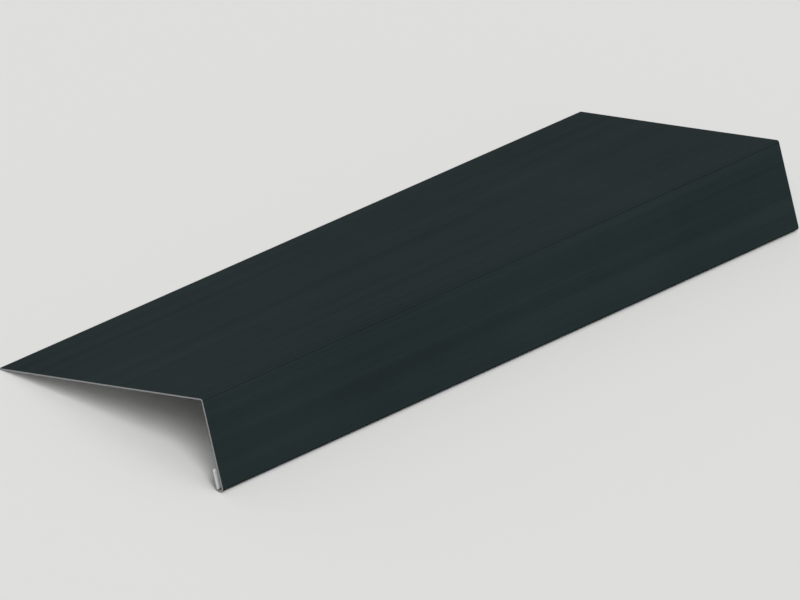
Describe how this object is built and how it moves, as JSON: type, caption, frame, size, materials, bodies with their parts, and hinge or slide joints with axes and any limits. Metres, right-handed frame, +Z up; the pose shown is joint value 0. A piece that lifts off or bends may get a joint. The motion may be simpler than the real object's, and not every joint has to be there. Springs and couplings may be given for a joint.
{
  "type": "gutter apron",
  "caption": "Folded sheet-metal gutter apron: a wide roof flange, a short face that leans outwards, and an open hem turned back up inside its foot.",
  "frame": {"origin": "on the floor, at the bottom centre of the box that the apron stands in: midway along its length, and midway between the flange's free edge and the foot of the face", "axes": "+X along the eave, +Y towards the flange's free edge (up the roof), +Z up as it stands unheld on a level floor"},
  "size_m": [0.635, 0.1482, 0.0437],
  "materials": {
    "painted_sheet": "satin"
  },
  "bodies": {
    "root": {"apron_sheet": "painted_sheet"}
  },
  "joints": []
}
